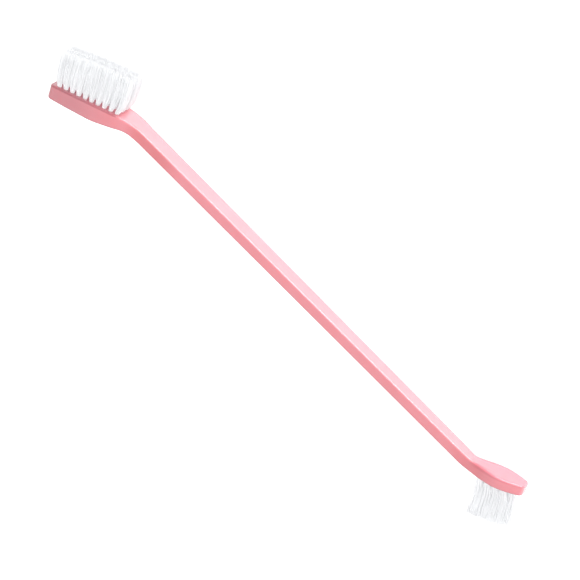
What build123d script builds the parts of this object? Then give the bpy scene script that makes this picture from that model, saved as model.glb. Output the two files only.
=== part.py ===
from build123d import *
import math
import os

# A double-ended pet toothbrush, in millimetres. The handle and its two heads are one
# moulding. Every bristle tuft is folded over a flat metal anchor and driven into its own
# blind hole. The brush lies on its side: X runs along the handle towards the large head,
# Y is the way the bristles point, and Z is the width of the heads.

# Moulding: handle
handle_length = 170.1          # between the two bends, along the face
handle_thickness = 4.4
handle_width_large = 8.2       # where it leaves the large head
handle_width_small = 5.6       # where it reaches the small head
head_angle = 21.4              # both heads lie parallel, turned from the handle by this angle
edge_round = 0.7

# Moulding: large head, lengths counted from its tip
large_head_length = 32.7
large_head_width = 11.4
large_tip_width = 10.8
large_tip_round = 2.0
large_taper_length = 8.0       # from the tip to where the sides run parallel
large_shoulder_length = 11.0    # from the parallel sides to the handle
large_shoulder_round = 14.0
large_tip_thickness = 5.5
large_belly_thickness = 6.35   # deepest part of the back
large_belly_place = 19.0
large_neck_thickness = 4.7
large_belly_round = 26.0
large_outer_bend = 30.0        # radius of the bend on the bristle side
large_inner_bend = 12.0        # radius of the bend at the back

# Moulding: small head, lengths counted from its bend
small_head_length = 21.0
small_head_width = 9.4
small_neck_width = 5.2
small_tip_width = 5.0
small_tip_round = 1.9
small_widest_place = 9.0
small_neck_thickness = 5.1
small_tip_thickness = 4.2
small_outer_bend = 24.0        # radius of the bend on the bristle side
small_inner_bend = 7.0         # radius of the bend at the back

# Tufts
hole_diameter = 1.7
tuft_clearance = 0.02          # tuft to hole, on the radius
tuft_gap = 0.12                # between the tips of neighbouring tufts
tuft_tip_round = 0.25
large_rows = 3
large_tufts_per_row = 10
large_tip_margin = 3.2         # from the tip to the first tuft
large_neck_margin = 5.4        # from the last tuft to the bend
large_side_margin = 2.3        # from the head's side to the outer rows
large_bristle_length = 14.8    # above the bristle face
large_hole_depth = 3.4
small_rows = 3
small_middle_tufts = 5
small_outer_tufts = 4          # the outer rows stop short of the narrow tip
small_tip_margin = 4.4
small_neck_margin = 4.8
small_side_margin = 2.3
small_bristle_length = 14.1
small_hole_depth = 2.4

# Anchors
anchor_thickness = 0.25
anchor_bite = 0.15             # how far an anchor cuts into the wall on each side of its hole
anchor_height = 1.2
anchor_fold = 0.45             # filament folded under the anchor

# Worked out from the sizes above. The heads lie along X while the brush is being built.
slope = math.radians(head_angle)
small_bend_x = large_head_length + handle_length * math.cos(slope)
small_bend_y = -handle_length * math.sin(slope)
small_tip_x = small_bend_x + small_head_length
small_face_rise = (small_neck_thickness - small_tip_thickness) / small_head_length
small_face_tilt = math.degrees(math.atan(small_face_rise))
tuft_radius = hole_diameter / 2 - tuft_clearance
anchor_length = hole_diameter + 2 * anchor_bite


def handle_point(distance, depth):
    """A point that far along the handle from the large head's bend, and that deep below its face."""
    x = large_head_length + distance * math.cos(slope) - depth * math.sin(slope)
    y = -distance * math.sin(slope) - depth * math.cos(slope)
    return x, y


def round_corners(face, corners):
    """The face with each listed corner rounded to its own radius."""
    for point, radius in corners:
        corner = face.vertices().sort_by_distance(Vector(*point))[0]
        face = fillet(corner, radius)
    return face


def side_profile():
    """The S-shaped outline seen across the width. It runs past both tips, which the plan trims."""
    spare = 5.0                    # past each tip
    large_bend = (large_head_length, 0)
    small_bend = (small_bend_x, small_bend_y)
    back_line = handle_thickness / math.cos(slope)
    back_bend_x = large_head_length + (large_neck_thickness - back_line) / math.tan(slope)
    back_bend = (back_bend_x, -large_neck_thickness)
    tip_drop = small_tip_thickness - spare * small_face_rise
    small_back = handle_point(handle_length, handle_thickness)
    face_drop = small_bend_y - small_neck_thickness - small_back[1]
    face_run = face_drop / (math.tan(slope) + small_face_rise)
    small_face_x = small_back[0] - face_run
    small_face_bend = (small_face_x, small_back[1] + face_run * math.tan(slope))
    belly = (large_belly_place, -large_belly_thickness)
    outline = Polyline(
        (-spare, 0),
        large_bend,
        small_bend,
        (small_tip_x + spare, small_bend_y),
        (small_tip_x + spare, small_bend_y - tip_drop),
        small_face_bend,
        back_bend,
        belly,
        (0, -large_tip_thickness),
        (-spare, -large_tip_thickness),
        close=True,
    )
    bends = [
        (large_bend, large_outer_bend),
        (small_bend, small_inner_bend),
        (small_face_bend, small_outer_bend),
        (back_bend, large_inner_bend),
        (belly, large_belly_round),
    ]
    return round_corners(make_face(outline), bends)


def plan_side(side):
    """One long side of the plan outline, from the large tip to the small tip."""
    parallel_end = large_head_length - large_neck_margin
    shoulder_end = (parallel_end + large_shoulder_length, side * handle_width_large / 2)
    neck = (small_bend_x, side * small_neck_width / 2)
    taper = (handle_width_large - handle_width_small) / 2 / handle_length
    handle_end_x = small_bend_x - small_outer_bend * math.tan(slope / 2)
    large_part = Polyline(
        (0, side * large_tip_width / 2),
        (large_taper_length, side * large_head_width / 2),
        (parallel_end, side * large_head_width / 2),
        shoulder_end,
        (handle_end_x, side * handle_width_small / 2),
    )
    small_part = Spline(
        (handle_end_x, side * handle_width_small / 2),
        neck,
        (small_bend_x + small_widest_place, side * small_head_width / 2),
        (small_tip_x, side * small_tip_width / 2),
        tangents=[(1, -side * taper), (0.9, -side * 0.35)],
    )
    return large_part, small_part


def plan_outline():
    """The outline seen square to the bristle faces: two heads joined by a tapered handle."""
    near_large, near_small = plan_side(-1)
    far_large, far_small = plan_side(1)
    large_end = Line((0, -large_tip_width / 2), (0, large_tip_width / 2))
    small_end = Line((small_tip_x, -small_tip_width / 2), (small_tip_x, small_tip_width / 2))
    face = make_face([near_large, near_small, small_end, far_small, far_large, large_end])
    parallel_end = large_head_length - large_neck_margin
    rounds = []
    for side in (-1, 1):
        head_side = side * large_head_width / 2
        shoulder = (parallel_end + large_shoulder_length, side * handle_width_large / 2)
        rounds.append(((0, side * large_tip_width / 2), large_tip_round))
        rounds.append(((large_taper_length, head_side), large_shoulder_round))
        rounds.append(((parallel_end, head_side), large_shoulder_round))
        rounds.append((shoulder, large_shoulder_round))
        rounds.append(((small_tip_x, side * small_tip_width / 2), small_tip_round))
    return round_corners(face, rounds)


def is_rim(edge):
    """True for an edge between a side wall and a face, false for a seam across a face or a wall."""
    along = edge.tangent_at(0.5)
    at_tip = abs(edge.center().X) < 0.01 or abs(edge.center().X - small_tip_x) < 0.01
    return abs(along.Y) < 0.9 and (abs(along.Z) < 0.99 or at_tip)


def handle_blank():
    """The moulding with its rims rounded, before the tuft holes."""
    reach = handle_length + large_head_length
    slab = extrude(side_profile(), large_head_width, both=True)
    column = extrude(Plane.XZ * plan_outline(), reach, both=True)
    blank = (slab & column).solid()
    return fillet(blank.edges().filter_by(is_rim), edge_round)


def spread(first, last, count):
    """Evenly spaced places from first to last."""
    step = (last - first) / (count - 1)
    return [first + step * index for index in range(count)]


def large_seats():
    """Where each large-head tuft stands: its place on the bristle face, pointing outwards."""
    side = large_head_width / 2 - large_side_margin
    last = large_head_length - large_neck_margin
    seats = []
    for row, z in enumerate(spread(-side, side, large_rows)):
        for index, x in enumerate(spread(large_tip_margin, last, large_tufts_per_row)):
            name = f"large_tuft_row{row + 1}_{index + 1:02d}"
            seats.append((name, Pos(x, 0, z) * Rot(-90, 0, 0)))
    return seats


def small_seats():
    """Where each small-head tuft stands on its tilted face, pointing outwards."""
    side = small_head_width / 2 - small_side_margin
    last = small_head_length - small_tip_margin
    runs = spread(small_neck_margin, last, small_middle_tufts)
    seats = []
    for row, z in enumerate(spread(-side, side, small_rows)):
        count = small_outer_tufts if row in (0, small_rows - 1) else small_middle_tufts
        for index, run in enumerate(runs[:count]):
            y = small_bend_y - small_neck_thickness + run * small_face_rise
            name = f"small_tuft_row{row + 1}_{index + 1:02d}"
            turn = Rot(0, 0, small_face_tilt) * Rot(90, 0, 0)
            seats.append((name, Pos(small_bend_x + run, y, z) * turn))
    return seats


def tip_radius(length, width, side_margin, end_margins, rows, count):
    """The largest tuft tip that leaves the named gap to its neighbours both ways."""
    pitch = (length - end_margins) / (count - 1)
    row_pitch = (width - 2 * side_margin) / (rows - 1)
    return (min(pitch, row_pitch) - tuft_gap) / 2


def anchor(depth):
    """A flat plate across the hole, a fold's thickness above its floor."""
    middle = anchor_fold + anchor_height / 2 - depth
    return Pos(0, 0, middle) * Box(anchor_length, anchor_thickness, anchor_height)


def tuft(depth, length, top):
    """A bundle of filaments: straight in its hole, flared above it, split round its anchor."""
    root = Pos(0, 0, -depth / 2) * Cylinder(tuft_radius, depth)
    flare = Pos(0, 0, length / 2) * Cone(tuft_radius, top, length)
    bundle = (root + flare).solid()
    rim = bundle.edges().sort_by(Axis.Z)[-1]
    return fillet(rim, tuft_tip_round) - anchor(depth)


def hole(depth):
    """The blind hole under a tuft, with the slot that its anchor cuts."""
    sink = 1.0                     # past the face, so that the cut is open
    bore = Pos(0, 0, (sink - depth) / 2) * Cylinder(hole_diameter / 2, depth + sink)
    return bore + anchor(depth)


def build():
    """Every node by name, in the frame in which the heads lie along X."""
    large_top = tip_radius(large_head_length, large_head_width, large_side_margin,
                           large_tip_margin + large_neck_margin, large_rows, large_tufts_per_row)
    small_top = tip_radius(small_head_length, small_head_width, small_side_margin,
                           small_tip_margin + small_neck_margin, small_rows, small_middle_tufts)
    heads = [
        ("large_head_anchors", large_seats(), large_hole_depth, large_bristle_length, large_top),
        ("small_head_anchors", small_seats(), small_hole_depth, small_bristle_length, small_top),
    ]
    nodes = {}
    cuts = []
    for anchors_name, seats, depth, length, top in heads:
        shape = tuft(depth, length, top)
        for name, seat in seats:
            nodes[name] = seat * shape
            cuts.append(seat * hole(depth))
        nodes[anchors_name] = Compound([seat * anchor(depth).solid() for name, seat in seats])
    nodes["handle"] = handle_blank() - cuts
    return nodes


def place_on_side(nodes):
    """The nodes turned so that the handle lies along X, over the middle of the brush's box."""
    turn = Rot(0, 0, 180 + head_angle)
    turned = {name: turn * shape for name, shape in nodes.items()}
    box = Compound(list(turned.values())).bounding_box()
    middle = box.center()
    shift = Pos(-middle.X, -middle.Y, -box.min.Z)
    return {name: shift * shape for name, shape in turned.items()}


os.makedirs("parts", exist_ok=True)
for name, shape in place_on_side(build()).items():
    export_step(shape, f"parts/{name}.step")
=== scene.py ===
import math
import random
import bmesh
import bpy
from mathutils import Matrix, Vector


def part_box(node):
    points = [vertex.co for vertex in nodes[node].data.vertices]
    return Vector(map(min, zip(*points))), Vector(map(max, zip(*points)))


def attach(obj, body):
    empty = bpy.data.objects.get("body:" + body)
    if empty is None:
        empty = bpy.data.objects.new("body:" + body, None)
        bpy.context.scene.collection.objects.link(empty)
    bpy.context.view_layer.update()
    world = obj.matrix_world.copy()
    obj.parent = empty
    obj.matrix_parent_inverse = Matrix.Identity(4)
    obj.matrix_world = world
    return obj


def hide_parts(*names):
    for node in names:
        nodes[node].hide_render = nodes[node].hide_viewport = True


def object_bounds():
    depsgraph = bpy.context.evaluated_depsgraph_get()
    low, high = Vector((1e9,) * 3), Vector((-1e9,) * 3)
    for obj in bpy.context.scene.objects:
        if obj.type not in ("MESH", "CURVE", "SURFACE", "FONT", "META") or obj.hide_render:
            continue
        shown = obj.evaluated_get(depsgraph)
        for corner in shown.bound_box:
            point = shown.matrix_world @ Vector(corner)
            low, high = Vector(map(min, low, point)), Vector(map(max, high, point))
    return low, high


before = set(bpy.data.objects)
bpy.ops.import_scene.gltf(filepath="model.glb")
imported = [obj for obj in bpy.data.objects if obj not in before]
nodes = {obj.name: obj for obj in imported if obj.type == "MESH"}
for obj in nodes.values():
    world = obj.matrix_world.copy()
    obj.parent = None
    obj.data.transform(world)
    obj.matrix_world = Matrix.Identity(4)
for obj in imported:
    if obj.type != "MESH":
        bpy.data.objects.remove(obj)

# A double-ended pet toothbrush lying on its side on a pale floor, in metres.
# X runs along the handle towards the large head, Z is up.

cadLow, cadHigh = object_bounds()
mm = 0.001


def clearSelection():
    if bpy.context.object and bpy.context.object.mode != "OBJECT":
        bpy.ops.object.mode_set(mode="OBJECT")
    bpy.ops.object.select_all(action="DESELECT")


def selectFaces(thing, wanted):
    # leaves edit mode open, with only the wanted faces selected
    bpy.ops.object.mode_set(mode="EDIT")
    bpy.ops.mesh.select_mode(type="FACE")
    bpy.ops.mesh.select_all(action="DESELECT")
    bpy.ops.object.mode_set(mode="OBJECT")
    for face in thing.data.polygons:
        face.select = wanted(face)
    bpy.ops.object.mode_set(mode="EDIT")


def copyOf(thing, name):
    piece = thing.copy()
    piece.data = thing.data.copy()
    piece.name = name
    piece.data.name = name
    bpy.context.scene.collection.objects.link(piece)
    return piece


def newMaterial(name, sockets):
    material = bpy.data.materials.new(name)
    material.use_nodes = True
    shader = material.node_tree.nodes["Principled BSDF"]
    for label, value in sockets.items():
        shader.inputs[label].default_value = value
    return material, material.node_tree, shader


print("camera")

cameraSet = {
    "azimuth": math.radians(10.17),
    "elevation": math.radians(58.33),
    "roll": math.radians(-126.2),
    "distance": 1.06017,
    "lens": 186.3,
    "sensor": 36.0,
    "clip": (0.05, 20.0),
    "aimOffset": Vector((-2.6, 2.47, 0.0)) * mm,  # from the middle of the brush's box
}


def makeCamera():
    c = cameraSet
    aim = (cadLow + cadHigh) / 2 + c["aimOffset"]
    flat = math.cos(c["elevation"])
    forward = Vector((math.sin(c["azimuth"]) * flat, math.cos(c["azimuth"]) * flat, 0))
    forward.z = -math.sin(c["elevation"])
    bpy.ops.object.camera_add(location=aim - forward * c["distance"])
    camera = bpy.context.object
    camera.name = "viewCamera"
    look = forward.to_track_quat("-Z", "Y")
    camera.rotation_euler = look.to_euler()
    camera.rotation_euler.rotate_axis("Z", c["roll"])
    camera.data.lens = c["lens"]
    camera.data.sensor_width = c["sensor"]
    camera.data.clip_start, camera.data.clip_end = c["clip"]
    camera.data.dof.use_dof = False
    bpy.context.scene.camera = camera


makeCamera()

print("floor and light")

floorSet = {
    "size": 8.0,
    "gap": 0.02 * mm,      # under the brush
    "sockets": {
        "Base Color": (0.95, 0.95, 0.95, 1.0),
        "Roughness": 0.9,
        "Specular IOR Level": 0.1,
        "Emission Color": (0.95, 0.95, 0.95, 1.0),
        "Emission Strength": 0.65,     # a lit sweep, with next to no shadow
    },
}
lightSet = {
    "worldColour": (1.0, 1.0, 1.0, 1.0),
    "worldStrength": 0.85,
    "keyPower": 28.0,      # low and soft, from the side that the large head's bristles point to
    "keySize": (1.4, 0.8),
    "keyPlace": Vector((0.05, -1.5, 0.4)),
    "stripPower": 14.0,    # draws the bright line along the rounded rim
    "stripSize": (1.8, 0.08),
    "stripPlace": Vector((0.14, -1.32, 0.82)),
    "topPower": 20.0,      # lifts the bristles alone
    "topSize": (2.0, 2.0),
    "topPlace": Vector((-0.1, -0.75, 1.3)),
}


def makeFloor():
    clearSelection()
    f = floorSet
    bpy.ops.mesh.primitive_plane_add(size=f["size"], location=(0, 0, cadLow.z - f["gap"]))
    floor = bpy.context.object
    floor.name = "floor"
    paint = newMaterial("paleFloor", f["sockets"])[0]
    floor.data.materials.append(paint)
    return floor


def makeWorld():
    world = bpy.data.worlds.new("studio")
    world.use_nodes = True
    background = world.node_tree.nodes["Background"]
    background.inputs["Color"].default_value = lightSet["worldColour"]
    background.inputs["Strength"].default_value = lightSet["worldStrength"]
    bpy.context.scene.world = world
    bpy.context.scene.view_settings.view_transform = "Standard"


def makeLamp(label):
    place = lightSet[label + "Place"]
    bpy.ops.object.light_add(type="AREA", location=place)
    lamp = bpy.context.object
    lamp.name = label + "Light"
    lamp.data.shape = "RECTANGLE"
    lamp.data.size, lamp.data.size_y = lightSet[label + "Size"]
    lamp.data.energy = lightSet[label + "Power"]
    lamp.rotation_euler = (-place).to_track_quat("-Z", "Y").to_euler()
    return lamp


def sortThings(name, things, state):
    # a list of what a lamp lights or is shaded by, or of what it leaves out
    group = bpy.data.collections.new(name)
    for thing in things:
        group.objects.link(thing)
    for entry in group.collection_objects:
        entry.light_linking.link_state = state
    return group


def makeLights(floor, bristles):
    passedOver = sortThings("passedOver", [floor] + bristles, "EXCLUDE")
    letThrough = sortThings("letThrough", bristles, "EXCLUDE")
    bristlesOnly = sortThings("bristlesOnly", bristles, "INCLUDE")
    for label in ("key", "strip"):
        lamp = makeLamp(label)
        lamp.light_linking.receiver_collection = passedOver
        lamp.light_linking.blocker_collection = letThrough
    lamp = makeLamp("top")
    lamp.light_linking.receiver_collection = bristlesOnly
    lamp.light_linking.blocker_collection = sortThings("clearHandle", [nodes["handle"]], "EXCLUDE")


floor = makeFloor()
makeWorld()

print("shared effects")


def newGroup(name, inputs, outputs):
    group = bpy.data.node_groups.new(name, "ShaderNodeTree")
    for label, kind, value in inputs:
        socket = group.interface.new_socket(name=label, in_out="INPUT", socket_type=kind)
        socket.default_value = value
    for label, kind in outputs:
        group.interface.new_socket(name=label, in_out="OUTPUT", socket_type=kind)
    entry = group.nodes.new("NodeGroupInput")
    result = group.nodes.new("NodeGroupOutput")
    return group, entry, result


def addNode(tree, kind, **settings):
    node = tree.nodes.new(kind)
    for label, value in settings.items():
        setattr(node, label, value)
    return node


def mapRange(tree, source, low, high):
    node = addNode(tree, "ShaderNodeMapRange")
    tree.links.new(source, node.inputs["Value"])
    node.inputs["To Min"].default_value = low
    node.inputs["To Max"].default_value = high
    return node.outputs["Result"]


def makeMottleGroup():
    # a soft cloudy change of tone about one half
    group, entry, result = newGroup(
        "softMottle",
        [("Scale", "NodeSocketFloat", 120.0), ("Amount", "NodeSocketFloat", 0.1)],
        [("Tone", "NodeSocketFloat")],
    )
    where = addNode(group, "ShaderNodeTexCoord")
    noise = addNode(group, "ShaderNodeTexNoise")
    noise.inputs["Detail"].default_value = 3.0
    group.links.new(where.outputs["Object"], noise.inputs["Vector"])
    group.links.new(entry.outputs["Scale"], noise.inputs["Scale"])
    centred = addNode(group, "ShaderNodeMath", operation="SUBTRACT")
    group.links.new(noise.outputs["Fac"], centred.inputs[0])
    centred.inputs[1].default_value = 0.5
    scaled = addNode(group, "ShaderNodeMath", operation="MULTIPLY")
    group.links.new(centred.outputs[0], scaled.inputs[0])
    group.links.new(entry.outputs["Amount"], scaled.inputs[1])
    lifted = addNode(group, "ShaderNodeMath", operation="ADD")
    group.links.new(scaled.outputs[0], lifted.inputs[0])
    lifted.inputs[1].default_value = 0.5
    group.links.new(lifted.outputs[0], result.inputs["Tone"])
    return group


def makeScratchGroup():
    # fine rubbing along one direction
    group, entry, result = newGroup(
        "fineRub",
        [("Scale", "NodeSocketFloat", 900.0), ("Stretch", "NodeSocketVector", (0.04, 1.0, 1.0))],
        [("Height", "NodeSocketFloat")],
    )
    where = addNode(group, "ShaderNodeTexCoord")
    squeeze = addNode(group, "ShaderNodeVectorMath", operation="MULTIPLY")
    noise = addNode(group, "ShaderNodeTexNoise")
    noise.inputs["Detail"].default_value = 4.0
    group.links.new(where.outputs["Object"], squeeze.inputs[0])
    group.links.new(entry.outputs["Stretch"], squeeze.inputs[1])
    group.links.new(squeeze.outputs[0], noise.inputs["Vector"])
    group.links.new(entry.outputs["Scale"], noise.inputs["Scale"])
    group.links.new(noise.outputs["Fac"], result.inputs["Height"])
    return group


mottleGroup = makeMottleGroup()
scratchGroup = makeScratchGroup()


def placeGroup(tree, group, **values):
    node = tree.nodes.new("ShaderNodeGroup")
    node.node_tree = group
    for label, value in values.items():
        node.inputs[label].default_value = value
    return node


def blendColours(tree, factor, low, high):
    mix = addNode(tree, "ShaderNodeMix", data_type="RGBA")
    tree.links.new(factor, mix.inputs["Factor"])
    mix.inputs["A"].default_value = low
    mix.inputs["B"].default_value = high
    return mix.outputs["Result"]


def addBump(tree, shader, height, strength, distance):
    bump = addNode(tree, "ShaderNodeBump")
    bump.inputs["Strength"].default_value = strength
    bump.inputs["Distance"].default_value = distance
    tree.links.new(height, bump.inputs["Height"])
    tree.links.new(bump.outputs["Normal"], shader.inputs["Normal"])


print("measuring the heads")

headSet = {
    "holeDepths": {"large_tuft": 3.4 * mm, "small_tuft": 2.4 * mm},   # below the bristle face
    "slack": 0.01 * mm,        # points this near to a tuft's end lie on it
}


def middleOf(name):
    low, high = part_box(name)
    return (Vector(low) + Vector(high)) / 2


def rowDirections(rowNames):
    # along the row, and out of the bristle face: rows lie parallel to the face
    first = nodes[rowNames[0]].data
    along = (middleOf(rowNames[-1]) - middleOf(rowNames[0])).normalized()
    out = Vector((0, 0, 1)).cross(along)
    spots = [v.co.dot(out) for v in first.vertices]
    middle = (max(spots) + min(spots)) / 2
    wide = [v.co for v in first.vertices if v.co.dot(out) > middle]
    narrow = [v.co for v in first.vertices if v.co.dot(out) < middle]

    def girth(points):
        across = [p.z for p in points]
        return max(across) - min(across)

    if girth(wide) < girth(narrow):  # tufts widen outwards
        out = -out
    return along, out


def tuftEnds(name, out):
    # the middle of the hole's floor, and the middle of the trimmed tip
    points = [v.co for v in nodes[name].data.vertices]
    reach = [p.dot(out) for p in points]
    floorMost, tipMost = min(reach), max(reach)

    def middle(level):
        ring = [p for p, r in zip(points, reach) if abs(r - level) < headSet["slack"]]
        lows = Vector((min(p.x for p in ring), min(p.y for p in ring), min(p.z for p in ring)))
        highs = Vector((max(p.x for p in ring), max(p.y for p in ring), max(p.z for p in ring)))
        return (lows + highs) / 2

    return middle(floorMost), middle(tipMost)


print("materials")


def multiply(tree, first, second):
    product = addNode(tree, "ShaderNodeMath", operation="MULTIPLY")
    tree.links.new(first, product.inputs[0])
    tree.links.new(second, product.inputs[1])
    return product.outputs[0]


def windowMask(tree, value, window):
    # 0 outside the window, 1 inside, with soft ends: rise from, rise to, fall from, fall to, in mm
    rise = addNode(tree, "ShaderNodeMapRange", interpolation_type="SMOOTHSTEP")
    fall = addNode(tree, "ShaderNodeMapRange", interpolation_type="SMOOTHSTEP")
    for node, low, high in ((rise, window[0], window[1]), (fall, window[3], window[2])):
        tree.links.new(value, node.inputs["Value"])
        node.inputs["From Min"].default_value = low * mm
        node.inputs["From Max"].default_value = high * mm
    return multiply(tree, rise.outputs["Result"], fall.outputs["Result"])


def headMask(tree, band):
    # a part of the handle: run is counted along a head from its first tuft, depth down from
    # the bristle face, and side out from the middle of the width
    prefix = band["head"]
    row = sorted(name for name in nodes if name.startswith(prefix + "_row2_"))
    along, out = rowDirections(row)
    mouth = tuftEnds(row[0], out)[0] + out * headSet["holeDepths"][prefix]
    turn = math.atan2(along.y, along.x)
    flip = 1 if Vector((0, 0, 1)).cross(along).dot(out) > 0 else -1
    spin = Matrix.Rotation(-turn, 3, "Z")
    where = addNode(tree, "ShaderNodeTexCoord")
    mapping = addNode(tree, "ShaderNodeMapping")
    mapping.inputs["Rotation"].default_value = (0, 0, -turn)
    mapping.inputs["Location"].default_value = -(spin @ mouth)
    parts = addNode(tree, "ShaderNodeSeparateXYZ")
    tree.links.new(where.outputs["Object"], mapping.inputs["Vector"])
    tree.links.new(mapping.outputs["Vector"], parts.inputs["Vector"])
    mask = windowMask(tree, parts.outputs["X"], band["run"])
    if "depth" in band:
        depth = addNode(tree, "ShaderNodeMath", operation="MULTIPLY")
        tree.links.new(parts.outputs["Y"], depth.inputs[0])
        depth.inputs[1].default_value = -flip
        mask = multiply(tree, mask, windowMask(tree, depth.outputs[0], band["depth"]))
    if "side" in band:
        side = addNode(tree, "ShaderNodeMath", operation="ABSOLUTE")
        tree.links.new(parts.outputs["Z"], side.inputs[0])
        mask = multiply(tree, mask, windowMask(tree, side.outputs[0], band["side"]))
    return mask


def tintColour(tree, mask, colour, tint):
    mix = addNode(tree, "ShaderNodeMix", data_type="RGBA", blend_type="MULTIPLY")
    tree.links.new(mask, mix.inputs["Factor"])
    tree.links.new(colour, mix.inputs["A"])
    mix.inputs["B"].default_value = tint
    return mix.outputs["Result"]


def addClouds(tree, kind, surface):
    clouds = placeGroup(tree, mottleGroup, Scale=surface[kind + "Scale"], Amount=surface[kind + "Amount"])
    return clouds.outputs["Tone"]


def addRoughness(tree, shader, tone, surface):
    rough = mapRange(tree, tone, surface["roughLow"], surface["roughHigh"])
    tree.links.new(rough, shader.inputs["Roughness"])


def addRub(tree, shader, surface):
    rub = placeGroup(tree, scratchGroup, Scale=surface["rubScale"])
    addBump(tree, shader, rub.outputs["Height"], surface["rubStrength"], surface["rubDepth"])


pinkSet = {
    "deep": (0.62, 0.20, 0.225, 1.0),
    "pale": (0.68, 0.25, 0.285, 1.0),
    "cloudScale": 90.0,
    "cloudAmount": 0.8,
    "smearScale": 260.0,
    "smearAmount": 0.8,
    "roughLow": 0.24,
    "roughHigh": 0.36,
    "rubScale": 1400.0,
    "rubStrength": 0.12,
    "rubDepth": 0.03 * mm,
    "sockets": {
        "Subsurface Weight": 0.35,
        "Subsurface Radius": (1.0, 0.35, 0.35),
        "Subsurface Scale": 2.2 * mm,
        "IOR": 1.49,
        "Coat Weight": 1.0,
        "Coat Roughness": 0.1,
    },
    "bands": [
        {   # the large head is a duller rose
            "tint": (0.80, 0.86, 0.86, 1.0),
            "head": "large_tuft",
            "run": (-9, -3, 6, 24),
        },
        {   # painted shade on the face that the tufts stand on, under and between the tufts
            "tint": (0.46, 0.33, 0.36, 1.0),
            "head": "large_tuft",
            "run": (-5, -3, 24, 28),
            "depth": (-1.0, -0.5, 0.3, 0.9),
        },
        {   # deeper sides where the small head's neck bends
            "tint": (0.93, 0.80, 0.80, 1.0),
            "head": "small_tuft",
            "run": (-16, -6, -1, 6),
            "side": (2.0, 2.7, 6.0, 7.0),
        },
        {   # and where the large head's neck bends
            "tint": (0.92, 0.76, 0.74, 1.0),
            "head": "large_tuft",
            "run": (28, 35, 42, 56),
            "side": (3.4, 4.0, 7.0, 8.0),
        },
        {   # a mauver back on the small head
            "tint": (0.90, 0.80, 0.85, 1.0),
            "head": "small_tuft",
            "run": (-6, -1, 22, 26),
            "depth": (3.0, 3.8, 7.0, 8.0),
        },
        {   # painted shade on the large head's very end
            "tint": (0.74, 0.60, 0.56, 1.0),
            "head": "large_tuft",
            "run": (-5, -4, -3.1, -2.0),
        },
    ],
}


def makePinkPlastic():
    p = pinkSet
    material, tree, shader = newMaterial("pinkPlastic", p["sockets"])
    tone = blendColours(tree, addClouds(tree, "cloud", p), p["deep"], p["pale"])
    for band in p["bands"]:
        tone = tintColour(tree, headMask(tree, band), tone, band["tint"])
    tree.links.new(tone, shader.inputs["Base Color"])
    addRoughness(tree, shader, addClouds(tree, "smear", p), p)
    addRub(tree, shader, p)
    return material


nylonSet = {
    "deep": (0.95, 0.96, 0.975, 1.0),
    "pale": (0.975, 0.98, 0.99, 1.0),
    "cloudScale": 700.0,
    "cloudAmount": 1.4,
    "roughLow": 0.30,
    "roughHigh": 0.45,
    "rubScale": 5000.0,
    "rubStrength": 0.1,
    "rubDepth": 0.01 * mm,
    "sockets": {
        "IOR": 1.53,
        "Transmission Weight": 0.25,
        "Emission Color": (0.975, 0.98, 0.99, 1.0),
        "Emission Strength": 0.07,     # a painted glow that stands in for light the clear filaments pass on to each other
    },
}
anchorSet = {
    "deep": (0.55, 0.52, 0.46, 1.0),
    "pale": (0.80, 0.77, 0.70, 1.0),
    "cloudScale": 2500.0,
    "cloudAmount": 1.6,
    "roughLow": 0.25,
    "roughHigh": 0.5,
    "rubScale": 9000.0,
    "rubStrength": 0.3,
    "rubDepth": 0.01 * mm,
    "sockets": {"Metallic": 1.0},
}


def makeCloudyMaterial(name, surface):
    # one cloudy tone gives both the colour and the roughness
    material, tree, shader = newMaterial(name, surface["sockets"])
    tone = addClouds(tree, "cloud", surface)
    tree.links.new(blendColours(tree, tone, surface["deep"], surface["pale"]), shader.inputs["Base Color"])
    addRoughness(tree, shader, tone, surface)
    addRub(tree, shader, surface)
    return material


pinkPlastic = makePinkPlastic()
whiteNylon = makeCloudyMaterial("whiteNylon", nylonSet)
anchorMetal = makeCloudyMaterial("anchorMetal", anchorSet)


def dressNode(name, material):
    node = nodes[name]
    if not node.material_slots:
        node.data.materials.append(material)
    for slot in node.material_slots:
        slot.material = material


dressNode("handle", pinkPlastic)
dressNode("large_head_anchors", anchorMetal)
dressNode("small_head_anchors", anchorMetal)

print("bristles")

filamentSet = {
    "radius": 0.095 * mm,
    "sides": 5,
    "stretches": 6,        # along its length, so that it can bend between them
    "tipRise": 0.7,        # of the rounded tip, in radii
    "tipShare": 0.5,       # width left at the very end
    "shake": 0.05,         # in a tuft's even packing, as a share of its radius
}


def makeFilament():
    # one straight filament of radius 1 from z = 0 to z = 1, with its rounded tip above
    f = filamentSet
    clearSelection()
    bpy.ops.mesh.primitive_cylinder_add(vertices=f["sides"], radius=1.0, depth=1.0, location=(0, 0, 0.5))
    filament = bpy.context.object
    filament.name = "filament"
    bpy.ops.object.transform_apply(location=True, rotation=False, scale=False)
    selectFaces(filament, lambda face: face.center.z > 0.99)  # its top
    bpy.ops.mesh.extrude_region_move(TRANSFORM_OT_translate={"value": (0, 0, f["tipRise"])})
    bpy.ops.transform.resize(value=(f["tipShare"], f["tipShare"], 1.0))
    for cut in range(1, f["stretches"]):
        bpy.ops.mesh.select_all(action="SELECT")
        bpy.ops.mesh.bisect(plane_co=(0, 0, cut / f["stretches"]), plane_no=(0, 0, 1))
    bpy.ops.object.mode_set(mode="OBJECT")
    for face in filament.data.polygons:
        face.use_smooth = abs(face.normal.z) < 0.9  # all but its flat ends
    return filament


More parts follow.
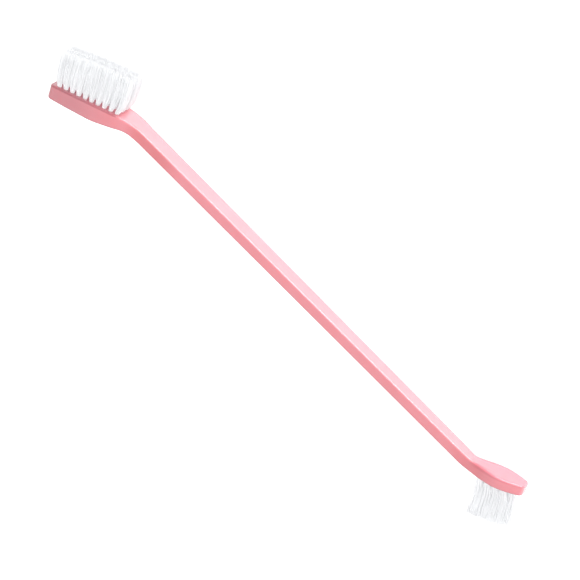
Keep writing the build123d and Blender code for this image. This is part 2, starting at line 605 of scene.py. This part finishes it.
largeBristles = {
    "prefix": "large_tuft",
    "filaments": 60,                   # in a tuft
    "rootRadius": 0.74 * mm,
    "sunk": 0.85,                      # how far down its hole a filament starts, as a share
    "tipAlong": 1.7 * mm,              # spread of a tuft's tip along its row, and across the rows
    "tipAcross": 1.4 * mm,
    "flareSpeed": 5.0,                 # how soon a tuft reaches that spread
    "wander": 0.2 * mm,                # of each filament's tip, at random
    "trim": (-0.1 * mm, 0.2 * mm),     # unevenness of the cut
    "leans": (-1.0 * mm, 1.6 * mm),    # of the first and the last tuft, along the row
    "leanFade": 4,                     # how fast a lean fades towards the middle of the row
    "sideLean": 0.2 * mm,              # of the outer rows, outwards
    "trimChange": (-1.6 * mm, -0.2 * mm),   # added to the first and the last tuft's length
    "anchorGap": 0.2 * mm,             # least distance of a filament's middle from the anchor's
    "seed": 11,
}
smallBristles = {
    "prefix": "small_tuft",
    "filaments": 60,
    "rootRadius": 0.74 * mm,
    "sunk": 0.85,
    "tipAlong": 2.1 * mm,
    "tipAcross": 1.35 * mm,
    "flareSpeed": 8.0,
    "wander": 0.25 * mm,
    "trim": (-0.3 * mm, 0.2 * mm),
    "leans": (1.1 * mm, 1.3 * mm),
    "leanFade": 1,
    "sideLean": -0.2 * mm,
    "trimChange": (0.5 * mm, 0.0),
    "anchorGap": 0.2 * mm,
    "seed": 47,
}


def packPlaces(count, dice):
    # even places over a disc, by the sunflower rule, a little shaken
    places = []
    shake = filamentSet["shake"]
    turn = math.pi * (3 - math.sqrt(5))
    for index in range(count):
        reach = math.sqrt((index + 0.5) / count)
        u = reach * math.cos(index * turn) + dice.uniform(-shake, shake)
        v = reach * math.sin(index * turn) + dice.uniform(-shake, shake)
        places.append((u, v))
    return places


def bendFilament(shape, filament, foot, out, along, path):
    # a copy of the filament, laid along its own path and added to the tuft
    across = out.cross(along)
    thick = filamentSet["radius"]
    before = len(shape.verts)
    shape.from_mesh(filament.data)
    shape.verts.ensure_lookup_table()
    for vertex in shape.verts[before:]:
        share = min(vertex.co.z, 1.0)
        past = (vertex.co.z - share) * thick
        girth = (along * vertex.co.x + across * vertex.co.y) * thick
        vertex.co = foot + path(share) + out * past + girth


def makeTuft(filament, b, name, along, out, run, sideStep, dice):
    # run goes from 0 at the row's first tuft to 1 at its last, sideStep from -1 to 1 over the rows
    holeDepth = headSet["holeDepths"][b["prefix"]]
    root, tip = tuftEnds(name, out)
    foot = root + out * holeDepth
    length = (tip - foot).dot(out)
    up = Vector((0, 0, 1))
    fromLast = 1 - run
    push = b["leans"][0] * fromLast ** b["leanFade"] + b["leans"][1] * run ** b["leanFade"]
    change = b["trimChange"][0] * fromLast ** 2 + b["trimChange"][1] * run ** 2
    lean = along * push + up * (b["sideLean"] * sideStep)
    shape = bmesh.new()
    for u, v in packPlaces(b["filaments"], dice):
        besideAnchor = math.copysign(max(abs(v * b["rootRadius"]), b["anchorGap"]), v)
        rootSpot = along * (u * b["rootRadius"]) + up * besideAnchor
        tipSpot = along * (u * b["tipAlong"]) + up * (v * b["tipAcross"]) + lean
        wander = along * dice.gauss(0, b["wander"]) + up * dice.gauss(0, b["wander"])
        bow = along * dice.gauss(0, b["wander"] / 2) + up * dice.gauss(0, b["wander"] / 2)
        start = -holeDepth * b["sunk"]
        reach = length + dice.uniform(*b["trim"]) + change - start

        def path(share):
            height = start + reach * share
            rise = max(height, 0.0) / length
            fan = 1 - (1 - min(rise, 1.0)) ** b["flareSpeed"]
            spread = rootSpot.lerp(tipSpot, fan) + wander * rise ** 2
            return out * height + spread + bow * math.sin(math.pi * min(rise, 1.0))

        bendFilament(shape, filament, foot, out, along, path)
    piece = copyOf(filament, name.replace("tuft", "bristles"))
    shape.to_mesh(piece.data)
    shape.free()
    piece.data.materials.append(whiteNylon)
    return piece


def makeHead(filament, b):
    names = sorted(name for name in nodes if name.startswith(b["prefix"]))
    rows = sorted({name.rsplit("_", 1)[0] for name in names})
    middleRow = [name for name in names if name.startswith(rows[len(rows) // 2])]
    along, out = rowDirections(middleRow)
    first = tuftEnds(middleRow[0], out)[0]
    span = (tuftEnds(middleRow[-1], out)[0] - first).dot(along)
    dice = random.Random(b["seed"])
    made = []
    for name in names:
        sideStep = 2 * rows.index(name.rsplit("_", 1)[0]) / (len(rows) - 1) - 1
        run = (tuftEnds(name, out)[0] - first).dot(along) / span
        piece = makeTuft(filament, b, name, along, out, run, sideStep, dice)
        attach(piece, "root")
        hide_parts(name)
        made.append(piece)
    print(b["prefix"], len(made), "tufts")
    return made


filament = makeFilament()
bristles = makeHead(filament, largeBristles) + makeHead(filament, smallBristles)
bpy.data.objects.remove(filament)
makeLights(floor, bristles)
